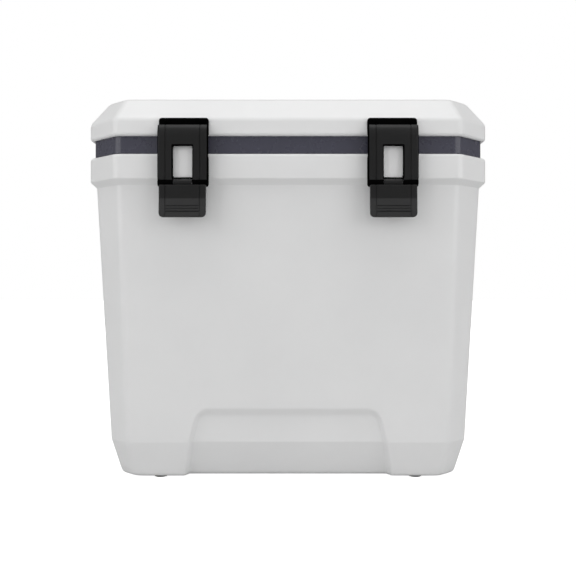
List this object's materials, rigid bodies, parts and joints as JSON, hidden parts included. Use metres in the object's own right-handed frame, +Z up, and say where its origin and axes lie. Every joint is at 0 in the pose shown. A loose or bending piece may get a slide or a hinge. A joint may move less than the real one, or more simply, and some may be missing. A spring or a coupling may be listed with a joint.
{
  "type": "cooler chest",
  "caption": "Insulated hard cooler chest with a rear-hinged lid, draw latches at the front, rubber feet and a screw-in drain plug",
  "frame": {"origin": "on the floor, under the middle of the chest with its latches and hinges", "axes": "+Z up, -Y towards the latches, +X to the right seen from the front, where the drain is"},
  "size_m": [0.42, 0.372, 0.4],
  "materials": {
    "white_plastic": "satin",
    "violet_grey_plastic": "satin",
    "black_plastic": "satin",
    "grey_rubber": "matte",
    "insulation_foam": "matte",
    "steel": "satin",
    "dark_steel": "satin"
  },
  "bodies": {
    "chest": {"body_foam": "insulation_foam", "catch_plate_left": "white_plastic", "catch_plate_right": "white_plastic", "drain_bushing": "black_plastic", "foot_back_left": "grey_rubber", "foot_back_right": "grey_rubber", "foot_front_left": "grey_rubber", "foot_front_right": "grey_rubber", "hinge_body_leaf_left": "black_plastic", "hinge_body_leaf_right": "black_plastic", "hinge_body_screw_left_a": "dark_steel", "hinge_body_screw_left_b": "dark_steel", "hinge_body_screw_right_a": "dark_steel", "hinge_body_screw_right_b": "dark_steel", "hinge_pin_left": "steel", "hinge_pin_right": "steel", "inner_liner": "white_plastic", "keeper_base_left": "black_plastic", "keeper_base_right": "black_plastic", "keeper_screw_left_a": "steel", "keeper_screw_left_b": "steel", "keeper_screw_right_a": "steel", "keeper_screw_right_b": "steel", "outer_shell": "white_plastic"},
    "drain_plug_body": {"drain_plug": "black_plastic", "drain_seal": "grey_rubber"},
    "lid": {"bracket_screw_left_a": "dark_steel", "bracket_screw_left_b": "dark_steel", "bracket_screw_right_a": "dark_steel", "bracket_screw_right_b": "dark_steel", "hinge_lid_leaf_left": "black_plastic", "hinge_lid_leaf_right": "black_plastic", "hinge_lid_screw_left_a": "dark_steel", "hinge_lid_screw_left_b": "dark_steel", "hinge_lid_screw_right_a": "dark_steel", "hinge_lid_screw_right_b": "dark_steel", "latch_bracket_left": "black_plastic", "latch_bracket_right": "black_plastic", "lid_cap": "white_plastic", "lid_foam": "insulation_foam", "lid_gasket": "grey_rubber", "lid_tray": "violet_grey_plastic", "link_pin_left": "steel", "link_pin_right": "steel"},
    "link_left": {"latch_link_left": "black_plastic", "lever_pin_left": "steel"},
    "lever_left": {"latch_lever_left": "black_plastic"},
    "link_right": {"latch_link_right": "black_plastic", "lever_pin_right": "steel"},
    "lever_right": {"latch_lever_right": "black_plastic"}
  },
  "joints": [
    {"name": "lid_hinge", "type": "hinge", "parent": "chest", "child": "lid", "pos_m": [0, 0.1795, 0.349], "axis": [-1, 0, 0], "range_deg": [0, 100]},
    {"name": "drain_plug_slide", "type": "slide", "parent": "chest", "child": "drain_plug_body", "axis": [1, 0, 0], "range_m": [0, 0.03]},
    {"name": "link_hinge_left", "type": "hinge", "parent": "lid", "child": "link_left", "pos_m": [-0.106, -0.1782, 0.3622], "axis": [-1, 0, 0], "range_deg": [0, 90]},
    {"name": "lever_hinge_left", "type": "hinge", "parent": "link_left", "child": "lever_left", "pos_m": [-0.106, -0.1796, 0.309], "axis": [-1, 0, 0], "range_deg": [0, 65]},
    {"name": "link_hinge_right", "type": "hinge", "parent": "lid", "child": "link_right", "pos_m": [0.106, -0.1782, 0.3622], "axis": [-1, 0, 0], "range_deg": [0, 90]},
    {"name": "lever_hinge_right", "type": "hinge", "parent": "link_right", "child": "lever_right", "pos_m": [0.106, -0.1796, 0.309], "axis": [-1, 0, 0], "range_deg": [0, 65]}
  ]
}
